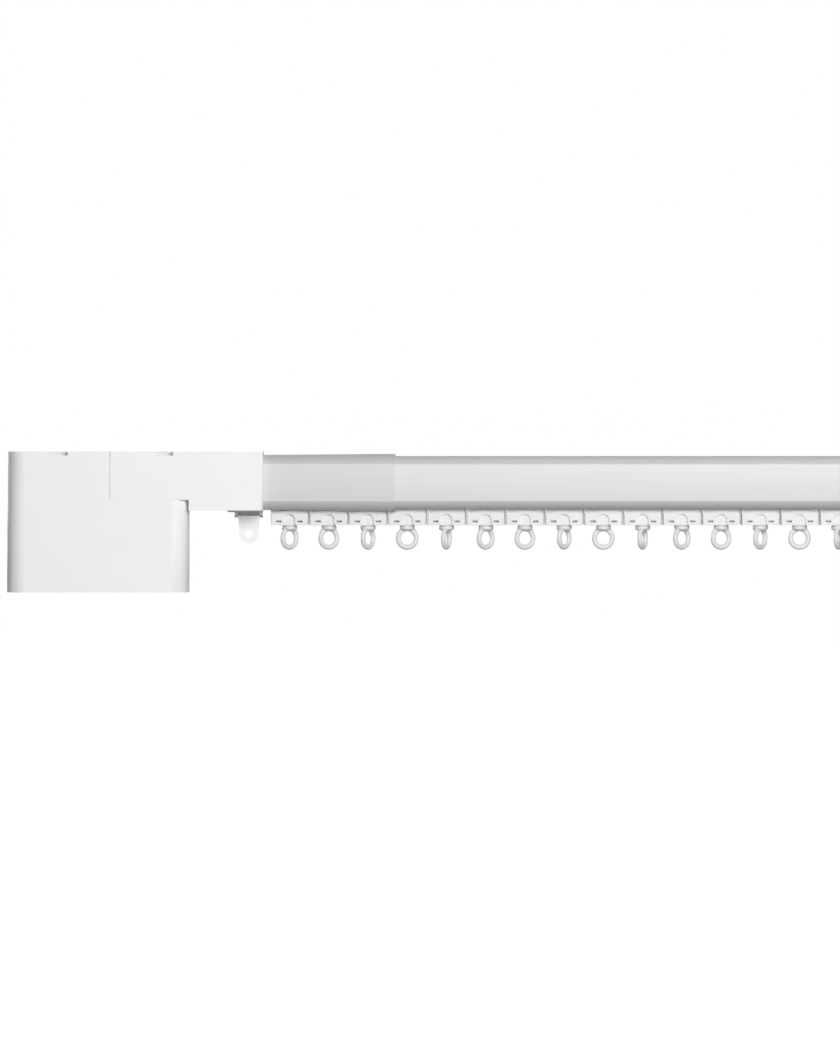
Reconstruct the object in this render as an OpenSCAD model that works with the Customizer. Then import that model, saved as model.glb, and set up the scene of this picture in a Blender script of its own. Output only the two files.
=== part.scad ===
// Electric curtain track: motor unit, belt drive, rail and a stack of linked runners.
// Millimetres. X runs along the rail, away from the motor. Y runs front to back. Z is up.
// The origin is on the drive pulley's axis, in the flat top face of the gear head.

/* [Motor unit] */
// Length of the motor housing along the rail
motor_len = 96; // [90:0.5:120]
// Height of the motor housing
motor_h = 74.5; // [70:0.5:100]
// Depth of the motor housing, the gear head and the tail case, front to back
unit_depth = 46; // [45:0.5:56]
// Radius of the upright corners of the motor housing and the tail case
corner_r = 9; // [5:0.5:10]
// Wall of every moulded case
wall = 2; // [1.6:0.1:2.4]
// Distance from the drive axis to the rail end of the motor housing
axis_inset = 22.5; // [21.5:0.5:26]
// Radius of the gear motor
gear_motor_r = 18; // [15:0.5:18.5]
// Diameter of the setting button
button_d = 7; // [5:0.5:9]
// Travel of the setting button
button_travel = 0.8; // [0.4:0.1:1.2]

/* [Gear head] */
// Length of the gear head along the rail
head_len = 81; // [76:0.5:100]
// Height of the gear head where it holds the rail
head_h = 31.2; // [31:0.1:34]
// Height of the gear head where it sits on the motor housing
seat_h = 25.6; // [25:0.1:27]
// Distance from the drive axis to the motor end of the gear head
head_inset = 19; // [18:0.5:24]
// Depth of the sockets that hold the ends of the rail
socket_len = 28; // [20:0.5:30]
// Gap that shows as a seam between the motor housing and the gear head
seam = 0.1; // [0.05:0.05:0.5]

/* [Clip pockets] */
// Length of a clip pocket along the rail
pocket_len = 11.2; // [8:0.2:14]
// Height of a clip pocket
pocket_h = 2.1; // [1.5:0.1:2.5]
// Depth of a clip pocket from the front or rear face
pocket_depth = 6; // [2:0.1:8]
// Distance between the two rows of clip pockets
pocket_spacing = 55.6; // [50:0.2:58]
// Distance from the drive axis to the pockets of the gear head
pocket_x = 8.8; // [5:0.2:10]

/* [Rail] */
// Width of the rail, front to back
rail_w = 34; // [33:0.5:38]
// Height of the rail
rail_h = 28; // [27.5:0.1:28.4]
// Distance from the mounting face down to the top of the rail
rail_drop = 2.3; // [2.1:0.1:2.5]
// Wall of the rail
rail_wall = 1.3; // [1:0.1:1.5]
// Radius of the upper shoulders of the rail
rail_top_r = 8.2; // [6:0.1:8.6]
// Radius of the lower shoulders of the rail
rail_bottom_r = 7.8; // [5:0.1:8.2]
// Part of a shoulder's round that the flat sides cut off, which leaves a crease
shoulder_cut = 0.9; // [0.2:0.1:1.2]
// Width of the slot that the runners hang through
rail_slot_w = 10; // [9.5:0.1:10.6]
// Width of the clip slot's mouth in the top of the rail
clip_mouth_w = 9; // [7:0.2:11]
// Width of the clip slot inside
clip_slot_w = 14; // [12.5:0.2:14.6]
// Height of the clip slot inside
clip_slot_h = 2.2; // [1.5:0.1:2.6]

/* [Sleeve] */
// Length of the sleeve over the motor end of the rail
sleeve_len = 70; // [40:1:100]
// Wall of the sleeve at the gear head
sleeve_wall = 0.45; // [0.3:0.05:0.6]
// Growth of the sleeve's wall from the gear head to its mouth
sleeve_flare = 0.55; // [0.1:0.05:0.7]

/* [Runners] */
// Number of runners in the stack
runner_count = 15; // [2:1:15]
// Length of a runner along the rail
runner_len = 19.8; // [18:0.1:26]
// Gap between two runners in the stack
runner_gap = 1; // [0.6:0.1:3]
// Gap between the gear head and the first runner
stack_gap = 3.9; // [2:0.1:10]
// Depth of a runner's body, front to back
runner_depth = 13; // [11:0.2:14]
// Height of a runner's body under the rail
runner_h = 7.9; // [7.5:0.1:10]
// Drop of a runner's top edge from its middle to its ends
runner_crown = 1.8; // [0.5:0.1:2.4]

/* [Eyelets] */
// Radius of an eyelet's ring, to the middle of its section
eyelet_r = 4.7; // [4:0.1:5.4]
// Radius of the section of an eyelet's ring
eyelet_section_r = 1.32; // [1:0.02:1.5]
// Straight part of an eyelet's sides
eyelet_straight = 0.4; // [0.2:0.1:2]
// Radius of an eyelet's collar
collar_r = 4.15; // [3.6:0.05:4.6]
// Radius of an eyelet's stem
stem_r = 1.9; // [1.5:0.05:2.1]

/* [Carriage] */
// Length of the lead carriage along the rail
carriage_len = 58; // [54:1:80]
// Radius of a carriage wheel
wheel_r = 3.5; // [3:0.05:3.7]
// Radius of a wheel's axle
axle_r = 1; // [0.8:0.05:1.3]
// Length of the lead arm
arm_len = 44; // [38:1:50]
// Drop of the lead arm under the carriage
arm_drop = 11; // [9:0.5:16]
// Distance between the two holes of the lead arm
arm_hole_spacing = 28; // [20:1:30]
// Radius of the holes that take the curtain's end hooks
hook_hole_r = 2.2; // [1.6:0.1:2.6]

/* [Belt drive] */
// Number of teeth on the belt, which sets the length of the track
belt_teeth = 404; // [390:2:440]
// Width of the belt
belt_w = 8; // [6:0.5:8.5]
// Pitch of the belt
belt_pitch = 5; // [4.8:0.05:5.1]
// Number of teeth on the drive and tail pulleys, an even number
pulley_teeth = 14; // [12:2:16]
// Radius of the drive shaft and of the tail axle
shaft_r = 3; // [2.5:0.1:3.2]

/* [End hook] */
// Width of the end hook's tab
tab_w = 11.4; // [9:0.1:12]
// Thickness of the tab
tab_t = 2.2; // [1.8:0.1:2.4]
// Drop of the tab under its pin
tab_drop = 15.1; // [13:0.1:20]
// Radius of the hook pin
hook_pin_r = 0.6; // [0.5:0.05:0.7]

/* [Hidden] */
$fn = 64;
hull_fn = 32;
// A cut runs past the face that it opens by this much.
cut = 1;

// Clearances
run_gap = 0.3;
fit_gap = 0.1;
bearing_gap = 0.05;
socket_gap = 0.15;

// Case positions
unit_half = unit_depth / 2;
motor_x1 = axis_inset;
motor_x0 = motor_x1 - motor_len;
head_x0 = -head_inset;
head_x1 = head_x0 + head_len;
step_x = motor_x1 + seam;
seam_r = 0.5;
mouth_r = 1.3;
deck_top = -seat_h - seam;
deck_t = 2.4;
deck_bottom = deck_top - deck_t;
pocket_floor_t = 0.8;
roof_t = max(wall, pocket_h + pocket_floor_t);
base_t = 2;
base_top = -motor_h + base_t;

// Belt drive
pitch_r = pulley_teeth * belt_pitch / (2 * PI);
centre_distance = (belt_teeth - pulley_teeth) * belt_pitch / 2;
pitch_line = 0.5;
pulley_r = pitch_r - pitch_line;
groove_depth = 1.9;
groove_mouth_w = 3.2;
groove_floor_w = 2.2;
groove_flare = 0.3;
belt_inner_r = pulley_r + fit_gap;
belt_base = 1;
belt_outer_r = belt_inner_r + belt_base;
tooth_h = 1.2;
tooth_root_w = 2.65;
tooth_tip_w = 1.8;
// Places of the points on the arc between two teeth, as shares of the pitch
arc_steps = [0.38, 0.46, 0.54, 0.62];
flange_t = 1;
flange_reach = 1.2;
flange_r = belt_outer_r + flange_reach;
belt_top = -8;
belt_bottom = belt_top - belt_w;
belt_side_gap = 0.4;
pulley_top = belt_top + belt_side_gap;
pulley_bottom = belt_bottom - belt_side_gap;
flat_depth = 0.6;
shaft_flat = shaft_r - flat_depth;

// Bearings
bearing_h = 4;
bearing_t = 3.5;
bearing_r = shaft_r + bearing_t;
bearing_wall = 2.4;
bearing_boss_r = bearing_r + bearing_wall;
bearing_proud = 0.4;
bearing_room = 1.6;
upper_bearing_z = -wall - fit_gap - bearing_h;
lower_bearing_z = pulley_bottom - flange_t - bearing_room - bearing_h;
shaft_top = -wall - fit_gap;
shaft_reach = 10;
shaft_bottom = deck_bottom - shaft_reach;
motor_boss_wall = 5;
motor_boss_r = shaft_r + motor_boss_wall;
axle_boss_wall = 2;
axle_boss_r = shaft_r + axle_boss_wall;
axle_boss_gap = 0.4;
axle_floor_t = 1.2;
shaft_room = 1;
head_plate_t = 3;

// Rail
rail_top = -rail_drop;
rail_bottom = rail_top - rail_h;
rail_x0 = head_x1 - socket_len;
rail_x1 = centre_distance - socket_len;
// The tail's socket is shorter than the gear head's by this much.
tail_socket_less = 2;
tail_socket_len = socket_len - tail_socket_less;
tail_x0 = rail_x1 - tail_socket_len;
tail_x1 = centre_distance + socket_len;
rail_half = rail_w / 2;
rail_floor_t = 1.5;
flange_top = rail_bottom + rail_floor_t;
lip_t = 1.3;
slot_floor_t = 1.2;
slot_side_t = 1.2;
ledge_drop = 2.2;
ledge_top = belt_bottom - ledge_drop;
ledge_t = 1.2;
ledge_lip = 0.7;
ledge_in = belt_inner_r - ledge_lip;

// Runners
pitch = runner_len + runner_gap;
stack_x = head_x1 + stack_gap;
body_gap = 0.9;
body_top = rail_bottom - body_gap;
body_bottom = body_top - runner_h;
body_corner_r = 0.5;
carriage_corner_r = 0.8;
body_overlap = 0.5;
crown_fn = 256;
neck_gap = 0.7;
neck_half = rail_slot_w / 2 - neck_gap;
neck_inset = 0.2;
shoe_z0 = flange_top + run_gap;
shoe_h = 6.4;
shoe_side_gap = 5.5;
shoe_half = rail_half - rail_wall - shoe_side_gap;
shoe_r = 3;
shoe_inset = 0.9;
post_t = 1;
post_inset = 0.8;
post_half = runner_depth / 2 - post_inset;
post_top = rail_bottom - run_gap;
arch_drop = 1.9;
recess_depth = 1.5;
recess_half = 3;
recess_flare = 1.2;
vent_x = 5.6;
vent_w = 2.8;
vent_h = 1;
vent_depth = 4;
vent_lift = 1.6;
vent_z = body_bottom + vent_lift;
bumper_gap = 0.2;
bumper_len = runner_gap - bumper_gap;
bumper_half = 2.5;
stem_floor_t = 3.1;
stem_floor = body_bottom + stem_floor_t;
stem_ledge = 1.1;
stem_room_r = stem_r + stem_ledge;

// Eyelets: the yaw of each one, as the stack was left, in a repeating row
eyelet_yaw = [42, 25, 56, 3, 70];
collar_gap = 0.45;
collar_top = body_bottom - collar_gap;
// The collar's boss reaches into a seat in the runner's underside.
boss_step = 0.25;
boss_r = collar_r - boss_step;
boss_reach = 0.3;
seat_r = boss_r + run_gap;
seat_depth = boss_reach + run_gap;
collar_taper = 0.9;
collar_chamfer = 1;
collar_h = 1.3;
stem_root = 0.5;
stem_head_h = 1.2;
ring_top_z = collar_top - eyelet_r - eyelet_section_r;
ring_bottom_z = ring_top_z - eyelet_straight;

// Carriage
carriage_x0 = stack_x + runner_count * pitch;
carriage_x = carriage_x0 + carriage_len / 2;
chassis_half = 5.4;
chassis_inset = 2;
chassis_floor_gap = 0.5;
chassis_roof_gap = 1.4;
chassis_bottom = flange_top + chassis_floor_gap;
chassis_top = ledge_top - ledge_t - chassis_roof_gap;
wheel_w = 3.4;
wheel_in = chassis_half + run_gap;
wheel_gap = 0.25;
axle_z = flange_top + wheel_gap + wheel_r;
axle_inset = 11;
axle_x = carriage_len / 2 - axle_inset;
axle_end = 0.3;
arm_t = 2.5;
arm_tongue = 4;
arm_shoulder = 2;
clamp_len = 24;
jaw_gap = 0.35;
jaw_t = 1.5;
jaw_post_t = 2.4;
jaw_drop = 1;
clamp_base_t = 2.2;
clamp_screw_x = 8;
clamp_screw_len = 7;

// Screws
screw_r = 1.25;
screw_head_r = 2.3;
screw_head_h = 1.3;
screw_len = 9;
post_r = 3.2;
base_post_h = 24;
// Distances of the screw posts' axes from the inner faces of their cases
base_post_in = 4.2;
head_post_in = 2.6;
tail_post_in = 2.8;
tail_post_end = 7;
base_post_inset = wall + base_post_in;
head_post_inset = wall + head_post_in;
tail_post_inset = wall + tail_post_in;
tail_post_near = 4;
tail_post_far = wall + tail_post_end;
deck_screw_pcd = 26;

// Control board
board_t = 1.6;
board_lift = 7;
board_z = base_top + board_lift;
board_top = board_z + board_t;
board_end_gap = 2.5;
board_motor_gap = 3;
board_side_gap = 2;
board_x0 = motor_x0 + wall + board_end_gap;
board_x1 = -gear_motor_r - board_motor_gap;
board_half = unit_half - wall - board_side_gap;
board_post_r = 2;
board_post_inset = 3;
// Places along the board, from its outer end
light_place = 4.5;
button_place = 12;
board_post_place = 20;
socket_place = 29;
module_place = 4;
board_post_x = board_x0 + board_post_place;
button_x = board_x0 + button_place;
button_recess = 0.2;
switch_h = 3;
socket_x = board_x0 + socket_place;
light_x = board_x0 + light_place;
light_r = 1.5;
light_recess = 0.2;
power_socket_l = 9;
power_socket_w = 13;
power_plug_l = 6;
power_plug_w = 9;
power_pin_r = 0.7;
power_pin_spacing = 4.5;
rim_t = 1.2;
rim_h = 1.2;
rim_gap = 0.4;

// End hook
hook_inset = 7.8;
hook_x = head_x1 - hook_inset;
lug_t = 1.7;
hook_plate_t = 0.85;
hook_plate_len = 18.7;
hook_plate_inset = 0.3;
hook_plate_x1 = head_x1 - hook_plate_inset;
hook_plate_half = 6;
hook_plate_bottom = -head_h - hook_plate_t;
hook_pin_drop = 1.35;
hook_pin_z = hook_plate_bottom - hook_pin_drop;
lug_r = 1.5;
lug_overlap = 0.2;
lip_lift = 0.4;
lip_plate_t = 0.8;
tab_clip_t = 0.55;
tab_clip_r = hook_pin_r + tab_clip_t;
clip_wrap = 0.45;
clip_edge = 0.2;
tab_top_drop = 0.5;
tab_top = hook_pin_z - tab_top_drop;
tab_tip_r = 5;

function runner_name(k) = str("runner_", k < 10 ? "0" : "", k);
function eyelet_name(k) = str("eyelet_", k < 10 ? "0" : "", k);
function runner_x(k) = stack_x + (k - 1) * pitch + runner_len / 2;
function yaw_of(k) = eyelet_yaw[(k - 1) % len(eyelet_yaw)];

// Extrudes an outline drawn in Y and Z along X.
module along_x(x, length) {
    translate([x, 0, 0]) rotate([90, 0, 90]) linear_extrude(length) children();
}

// Extrudes an outline drawn in X and Z along Y.
module along_y(y, length) {
    translate([0, y + length, 0]) rotate([90, 0, 0]) linear_extrude(length) children();
}

// A rectangle in plan whose corners have one radius at each end.
module round_plan(x0, x1, w, r0, r1) {
    translate([x0 + r0, -w / 2]) square([x1 - r1 - x0 - r0, w]);
    translate([x0, r0 - w / 2]) square([r0, w - 2 * r0]);
    translate([x1 - r1, r1 - w / 2]) square([r1, w - 2 * r1]);
    for (s = [-1, 1]) {
        translate([x0 + r0, s * (w / 2 - r0)]) circle(r0);
        translate([x1 - r1, s * (w / 2 - r1)]) circle(r1);
    }
}

module block(x0, x1, w, z0, z1, r0, r1) {
    translate([0, 0, z0]) linear_extrude(z1 - z0) round_plan(x0, x1, w, r0, r1);
}

module box(x0, x1, half, z0, z1) {
    translate([x0, -half, z0]) cube([x1 - x0, 2 * half, z1 - z0]);
}

// A rod or hole along Z between two heights.
module rod(x, y, z0, z1, r) {
    translate([x, y, z0]) cylinder(h = z1 - z0, r = r);
}

// A countersunk screw whose flat head lies at z, with its point along +Z or -Z.
module screw(x, y, z, up, grow = 0, length = screw_len) {
    translate([x, y, z]) mirror([0, 0, up > 0 ? 0 : 1]) {
        cylinder(h = screw_head_h, r1 = screw_head_r + grow, r2 = screw_r + grow);
        translate([0, 0, screw_head_h / 2])
            cylinder(h = length - screw_head_h / 2 + grow, r = screw_r + grow);
    }
}

// The corners of a case where its screws go.
function corners(x0, x1, half) = [for (x = [x0, x1], y = [-half, half]) [x, y]];

base_points = corners(motor_x0 + base_post_inset, motor_x1 - base_post_inset, unit_half - base_post_inset);
head_points = corners(head_x0 + head_post_inset, step_x - head_post_inset, unit_half - head_post_inset);
tail_points = corners(rail_x1 + tail_post_near, tail_x1 - tail_post_far, unit_half - tail_post_inset);
deck_points = [for (a = [45:90:315]) deck_screw_pcd / 2 * [cos(a), sin(a)]];

// The two pockets, front and rear, that the mounting clips hook into.
module clip_pockets(x) {
    for (s = [-1, 1])
        translate([x - pocket_len / 2, s > 0 ? unit_half - pocket_depth : -unit_half - cut, -pocket_h])
            cube([pocket_len, pocket_depth + cut, pocket_h + cut]);
}

// The screws of the motor's base and deck, the gear head's base and the tail's cover.
module case_screws() {
    color("silver") {
        for (p = base_points) screw(p[0], p[1], -motor_h, 1);
        for (p = deck_points) screw(p[0], p[1], deck_top, -1);
        for (p = head_points) screw(p[0], p[1], -seat_h, 1);
        for (p = tail_points) screw(p[0], p[1], -head_h, 1);
    }
}

// Motor unit

module motor_housing() {
    color("whitesmoke") difference() {
        union() {
            difference() {
                union() {
                    block(motor_x0, motor_x1, unit_depth, -motor_h, deck_top, corner_r, corner_r);
                    block(motor_x0, head_x0 - seam, unit_depth, deck_bottom, 0, corner_r, seam_r);
                }
                block(motor_x0 + wall, motor_x1 - wall, unit_depth - 2 * wall, -motor_h - cut, deck_bottom,
                      corner_r - wall, corner_r - wall);
                block(motor_x0 + wall, head_x0 - seam - wall, unit_depth - 2 * wall,
                      deck_bottom - cut, -roof_t, corner_r - wall, seam_r);
            }
            intersection() {
                for (p = base_points) rod(p[0], p[1], base_top + fit_gap, base_top + base_post_h, post_r);
                block(motor_x0 + wall / 2, motor_x1 - wall / 2, unit_depth - wall, -motor_h, deck_bottom,
                      corner_r - wall / 2, corner_r - wall / 2);
            }
        }
        for (p = base_points) screw(p[0], p[1], -motor_h, 1, fit_gap);
        for (p = deck_points) screw(p[0], p[1], deck_top, -1, fit_gap);
        rod(0, 0, deck_bottom - cut, deck_top + cut, motor_boss_r + fit_gap);
        clip_pockets(pocket_x - pocket_spacing);
    }
}

module motor_base() {
    inset = wall + fit_gap;
    rim_out = inset + rim_gap;
    rim_in = rim_out + rim_t;
    color("whitesmoke") difference() {
        union() {
            block(motor_x0 + inset, motor_x1 - inset, unit_depth - 2 * inset, -motor_h, base_top,
                  corner_r - inset, corner_r - inset);
            for (x = [board_post_x, board_x1 - board_post_inset], s = [-1, 1])
                rod(x, s * (board_half - board_post_inset), base_top - cut, board_z, board_post_r);
            difference() {
                block(motor_x0 + rim_out, -gear_motor_r, unit_depth - 2 * rim_out, base_top - cut,
                      base_top + rim_h, corner_r - rim_out, seam_r);
                block(motor_x0 + rim_in, -gear_motor_r + cut, unit_depth - 2 * rim_in, base_top - 2 * cut,
                      base_top + rim_h + cut, corner_r - rim_in, seam_r);
                for (p = base_points)
                    rod(p[0], p[1], base_top - cut, base_top + rim_h + cut, post_r + rim_gap);
            }
        }
        for (p = base_points) screw(p[0], p[1], -motor_h, 1, fit_gap);
        rod(button_x, 0, -motor_h - cut, base_top + cut, button_d / 2 + fit_gap);
        rod(light_x, 0, -motor_h - cut, base_top + cut, light_r + fit_gap);
        box(socket_x - power_socket_l / 2 - fit_gap, socket_x + power_socket_l / 2 + fit_gap,
            power_socket_w / 2 + fit_gap, -motor_h - cut, base_top + cut);
    }
}

// A brushed motor with its reduction gearing under one cylindrical case.
module gear_motor() {
    boss_recess = 0.4;
    boss_top = deck_top - boss_recess;
    gearing_h = 15;
    can_top = deck_bottom - gearing_h;
    can_lift = 1.5;
    can_bottom = base_top + can_lift;
    can_step = 1;
    end_cap_r = 5;
    color("gray") difference() {
        union() {
            rod(0, 0, can_top, deck_bottom, gear_motor_r);
            rod(0, 0, can_bottom, can_top, gear_motor_r - can_step);
            rod(0, 0, base_top + run_gap, can_bottom, end_cap_r);
            rod(0, 0, deck_bottom - cut, boss_top, motor_boss_r);
        }
        rod(0, 0, shaft_bottom - run_gap, boss_top + cut, shaft_r + bearing_gap);
        for (p = deck_points) screw(p[0], p[1], deck_top, -1, fit_gap);
    }
}

module circuit_board() {
    switch_half = 3;
    shield = [13, 10, 2.4];
    shield_place = [-17, -14];
    plug = [5, 14, 6];
    plug_place = [-20, 2];
    capacitor_r = 3.8;
    capacitor_h = 12;
    capacitor_x = -8;
    capacitor_row = [4, 13];
    color("seagreen") {
        difference() {
            box(board_x0, board_x1, board_half, board_z, board_top);
            for (p = base_points) rod(p[0], p[1], board_z - cut, board_top + cut, post_r + run_gap);
        }
        box(button_x - switch_half, button_x + switch_half, switch_half, board_z - switch_h, board_z + cut);
        board_piece(shield_place, shield);
        board_piece(plug_place, plug);
        for (y = capacitor_row)
            rod(board_x1 + capacitor_x, y, board_top - cut, board_top + capacitor_h, capacitor_r);
    }
}

// A box on the board, placed from the board's end by the motor.
module board_piece(place, size) {
    translate([board_x1 + place[0], place[1], board_top - cut]) cube([size[0], size[1], size[2] + cut]);
}

module power_module() {
    module_x = board_x0 + module_place;
    module_side_gap = 6;
    module_size = [20, 2 * (board_half - module_side_gap), 17];
    module_r = 1;
    color("dimgray") block(module_x, module_x + module_size[0], module_size[1], board_top,
                           board_top + module_size[2], module_r, module_r);
}

module power_socket() {
    pin_recess = 1;
    back_t = 1;
    color("black") {
        difference() {
            box(socket_x - power_socket_l / 2, socket_x + power_socket_l / 2, power_socket_w / 2,
                -motor_h, board_z);
            box(socket_x - power_plug_l / 2, socket_x + power_plug_l / 2, power_plug_w / 2,
                -motor_h - cut, board_z - back_t);
        }
        for (s = [-1, 1])
            rod(socket_x, s * power_pin_spacing / 2, -motor_h + pin_recess, board_z - back_t / 2,
                power_pin_r);
    }
}

module status_light() {
    color("lightcyan") rod(light_x, 0, -motor_h + light_recess, board_z, light_r);
}

// The cap drops to its flange, so that only its face shows in the base.
module setting_button() {
    flange_h = 0.8;
    flange_lip = 1;
    plunger_r = 1.6;
    flange_z = base_top + fit_gap;
    color("lightgray") {
        rod(button_x, 0, -motor_h + button_recess, flange_z + flange_h, button_d / 2);
        rod(button_x, 0, flange_z, flange_z + flange_h, button_d / 2 + flange_lip);
        rod(button_x, 0, base_top, board_z - switch_h - button_travel - fit_gap, plunger_r);
    }
}

// Gear head

// The outline of the rail, grown outwards by a clearance or a wall: a rounded bar whose sides are cut flat.
module rail_outline(grow = 0) {
    intersection() {
        rounded_bar(grow);
        translate([-rail_half - grow, rail_bottom - grow]) square([rail_w + 2 * grow, rail_h + 2 * grow]);
    }
}

module rounded_bar(grow) {
    half = rail_half + shoulder_cut + grow;
    top = rail_top + grow;
    bottom = rail_bottom - grow;
    tr = rail_top_r + grow;
    br = rail_bottom_r + grow;
    translate([-half, bottom + br]) square([2 * half, top - tr - bottom - br]);
    translate([tr - half, top - tr]) square([2 * (half - tr), tr]);
    translate([br - half, bottom]) square([2 * (half - br), br]);
    for (s = [-1, 1]) {
        translate([s * (half - tr), top - tr]) circle(tr);
        translate([s * (half - br), bottom + br]) circle(br);
    }
}

module gear_head_case() {
    inner = unit_half - wall;
    room_floor = pulley_bottom - flange_t - flange_reach;
    post_z = -seat_h + head_plate_t + fit_gap;
    color("whitesmoke") difference() {
        union() {
            difference() {
                union() {
                    block(head_x0, head_x1, unit_depth, -seat_h, 0, seam_r, mouth_r);
                    block(step_x, head_x1, unit_depth, -head_h, -seat_h + cut, seam_r, mouth_r);
                }
                box(head_x0 + wall, step_x - wall, inner, -seat_h - cut, -roof_t);
                box(head_x0 + wall, rail_x0, flange_r + flange_reach, room_floor, -roof_t);
            }
            rod(0, 0, upper_bearing_z + bearing_proud, -wall / 2, bearing_boss_r);
            intersection() {
                for (p = head_points) rod(p[0], p[1], post_z, -wall / 2, post_r);
                box(head_x0 + wall / 2, step_x - wall / 2, inner + wall / 2, -seat_h, 0);
            }
        }
        rod(0, 0, upper_bearing_z - cut, -wall, bearing_r + fit_gap / 2);
        for (p = head_points) screw(p[0], p[1], -seat_h, 1, fit_gap);
        along_x(rail_x0, socket_len + cut) rail_outline(socket_gap);
        clip_pockets(pocket_x);
    }
}

module gear_head_base() {
    x0 = head_x0 + wall + fit_gap;
    x1 = step_x - wall - fit_gap;
    color("lightgray") difference() {
        union() {
            box(x0, x1, unit_half - wall - fit_gap, -seat_h, -seat_h + head_plate_t);
            rod(0, 0, -seat_h, lower_bearing_z + bearing_h - bearing_proud, bearing_boss_r);
        }
        rod(0, 0, lower_bearing_z - fit_gap, lower_bearing_z + bearing_h + cut, bearing_r + fit_gap / 2);
        rod(0, 0, -seat_h - cut, lower_bearing_z, shaft_r + shaft_room);
        for (p = head_points) screw(p[0], p[1], -seat_h, 1, fit_gap);
    }
}

module bearing(z) {
    groove_r = (shaft_r + bearing_r) / 2;
    groove_half = 0.9;
    shield_recess = 0.5;
    groove_h = cut + shield_recess;
    color("silver") difference() {
        rod(0, 0, z, z + bearing_h, bearing_r);
        rod(0, 0, z - cut, z + bearing_h + cut, shaft_r + bearing_gap);
        for (face = [z - cut, z + bearing_h - shield_recess])
            difference() {
                rod(0, 0, face, face + groove_h, groove_r + groove_half);
                rod(0, 0, face - cut, face + groove_h + cut, groove_r - groove_half);
            }
    }
}

module drive_bearings() {
    bearing(upper_bearing_z);
    bearing(lower_bearing_z);
}

// A round bar with one flat, which keys the pulley to the shaft.
module flatted_bar(z0, z1, grow = 0) {
    difference() {
        rod(0, 0, z0, z1, shaft_r + grow);
        translate([-shaft_r - cut, shaft_flat + grow, z0 - cut])
            cube([2 * (shaft_r + cut), shaft_r, z1 - z0 + 2 * cut]);
    }
}

module drive_shaft() {
    flat_bottom = pulley_bottom - flange_t;
    flat_top = pulley_top + flange_t;
    color("silver") {
        rod(0, 0, shaft_bottom, flat_bottom, shaft_r);
        flatted_bar(flat_bottom - cut / 2, flat_top);
        rod(0, 0, flat_top - cut / 2, shaft_top, shaft_r);
    }
}

// The gap between two teeth of a pulley, wider at its mouth.
module tooth_gap() {
    mouth_half = groove_mouth_w / 2 + groove_flare;
    polygon([
        [pulley_r - groove_depth, -groove_floor_w / 2],
        [pulley_r + cut, -mouth_half],
        [pulley_r + cut, mouth_half],
        [pulley_r - groove_depth, groove_floor_w / 2]
    ]);
}

// A toothed pulley at the origin. A gap faces each belt tooth, half a pitch off the X axis' normal.
module toothed_pulley() {
    difference() {
        union() {
            rod(0, 0, pulley_bottom, pulley_top, pulley_r);
            for (z = [pulley_top, pulley_bottom - flange_t]) rod(0, 0, z, z + flange_t, flange_r);
        }
        for (i = [0:pulley_teeth - 1])
            rotate(90 + (i + 0.5) * 360 / pulley_teeth) translate([0, 0, pulley_bottom])
                linear_extrude(pulley_top - pulley_bottom) tooth_gap();
    }
}

module drive_pulley() {
    color("ivory") difference() {
        toothed_pulley();
        flatted_bar(pulley_bottom - flange_t - cut, pulley_top + flange_t + cut, bearing_gap);
    }
}

// Belt

// One belt tooth as four points, at distance x along a straight run whose inner face is at y = 0.
function belt_tooth(x) = [
    [x - tooth_root_w / 2, 0], [x - tooth_tip_w / 2, -tooth_h], [x + tooth_tip_w / 2, -tooth_h],
    [x + tooth_root_w / 2, 0]
];

// The inner edge of the run in front of the pulleys, from the drive pulley to the tail pulley.
function run_edge() = [
    for (i = [0:round(centre_distance / belt_pitch) - 1], p = belt_tooth((i + 0.5) * belt_pitch))
        [p[0], -belt_inner_r - p[1]]
];

// The inner edge of a half turn that starts at angle a, with the points between two teeth on the arc.
function turn_edge(a) = [
    for (i = [0:pulley_teeth / 2 - 1]) let (t = a + (i + 0.5) * 360 / pulley_teeth)
        each concat(
            [for (p = belt_tooth(0)) let (r = belt_inner_r + p[1])
                [r * cos(t) - p[0] * sin(t), r * sin(t) + p[0] * cos(t)]],
            [for (f = arc_steps) let (u = t + f * 360 / pulley_teeth)
                if (i < pulley_teeth / 2 - 1) belt_inner_r * [cos(u), sin(u)]]
        )
];

module belt_inner_loop() {
    front = run_edge();
    tail = [for (p = turn_edge(-90)) [p[0] + centre_distance, p[1]]];
    rear = [for (p = front) [centre_distance - p[0], -p[1]]];
    polygon(concat(front, tail, rear, turn_edge(90)));
}

module belt_outer_loop() {
    translate([0, -belt_outer_r]) square([centre_distance, 2 * belt_outer_r]);
    for (x = [0, centre_distance]) translate([x, 0]) circle(belt_outer_r);
}

module drive_belt() {
    color("dimgray") translate([0, 0, belt_bottom]) linear_extrude(belt_w) difference() {
        belt_outer_loop();
        belt_inner_loop();
    }
}

// Rail

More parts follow.
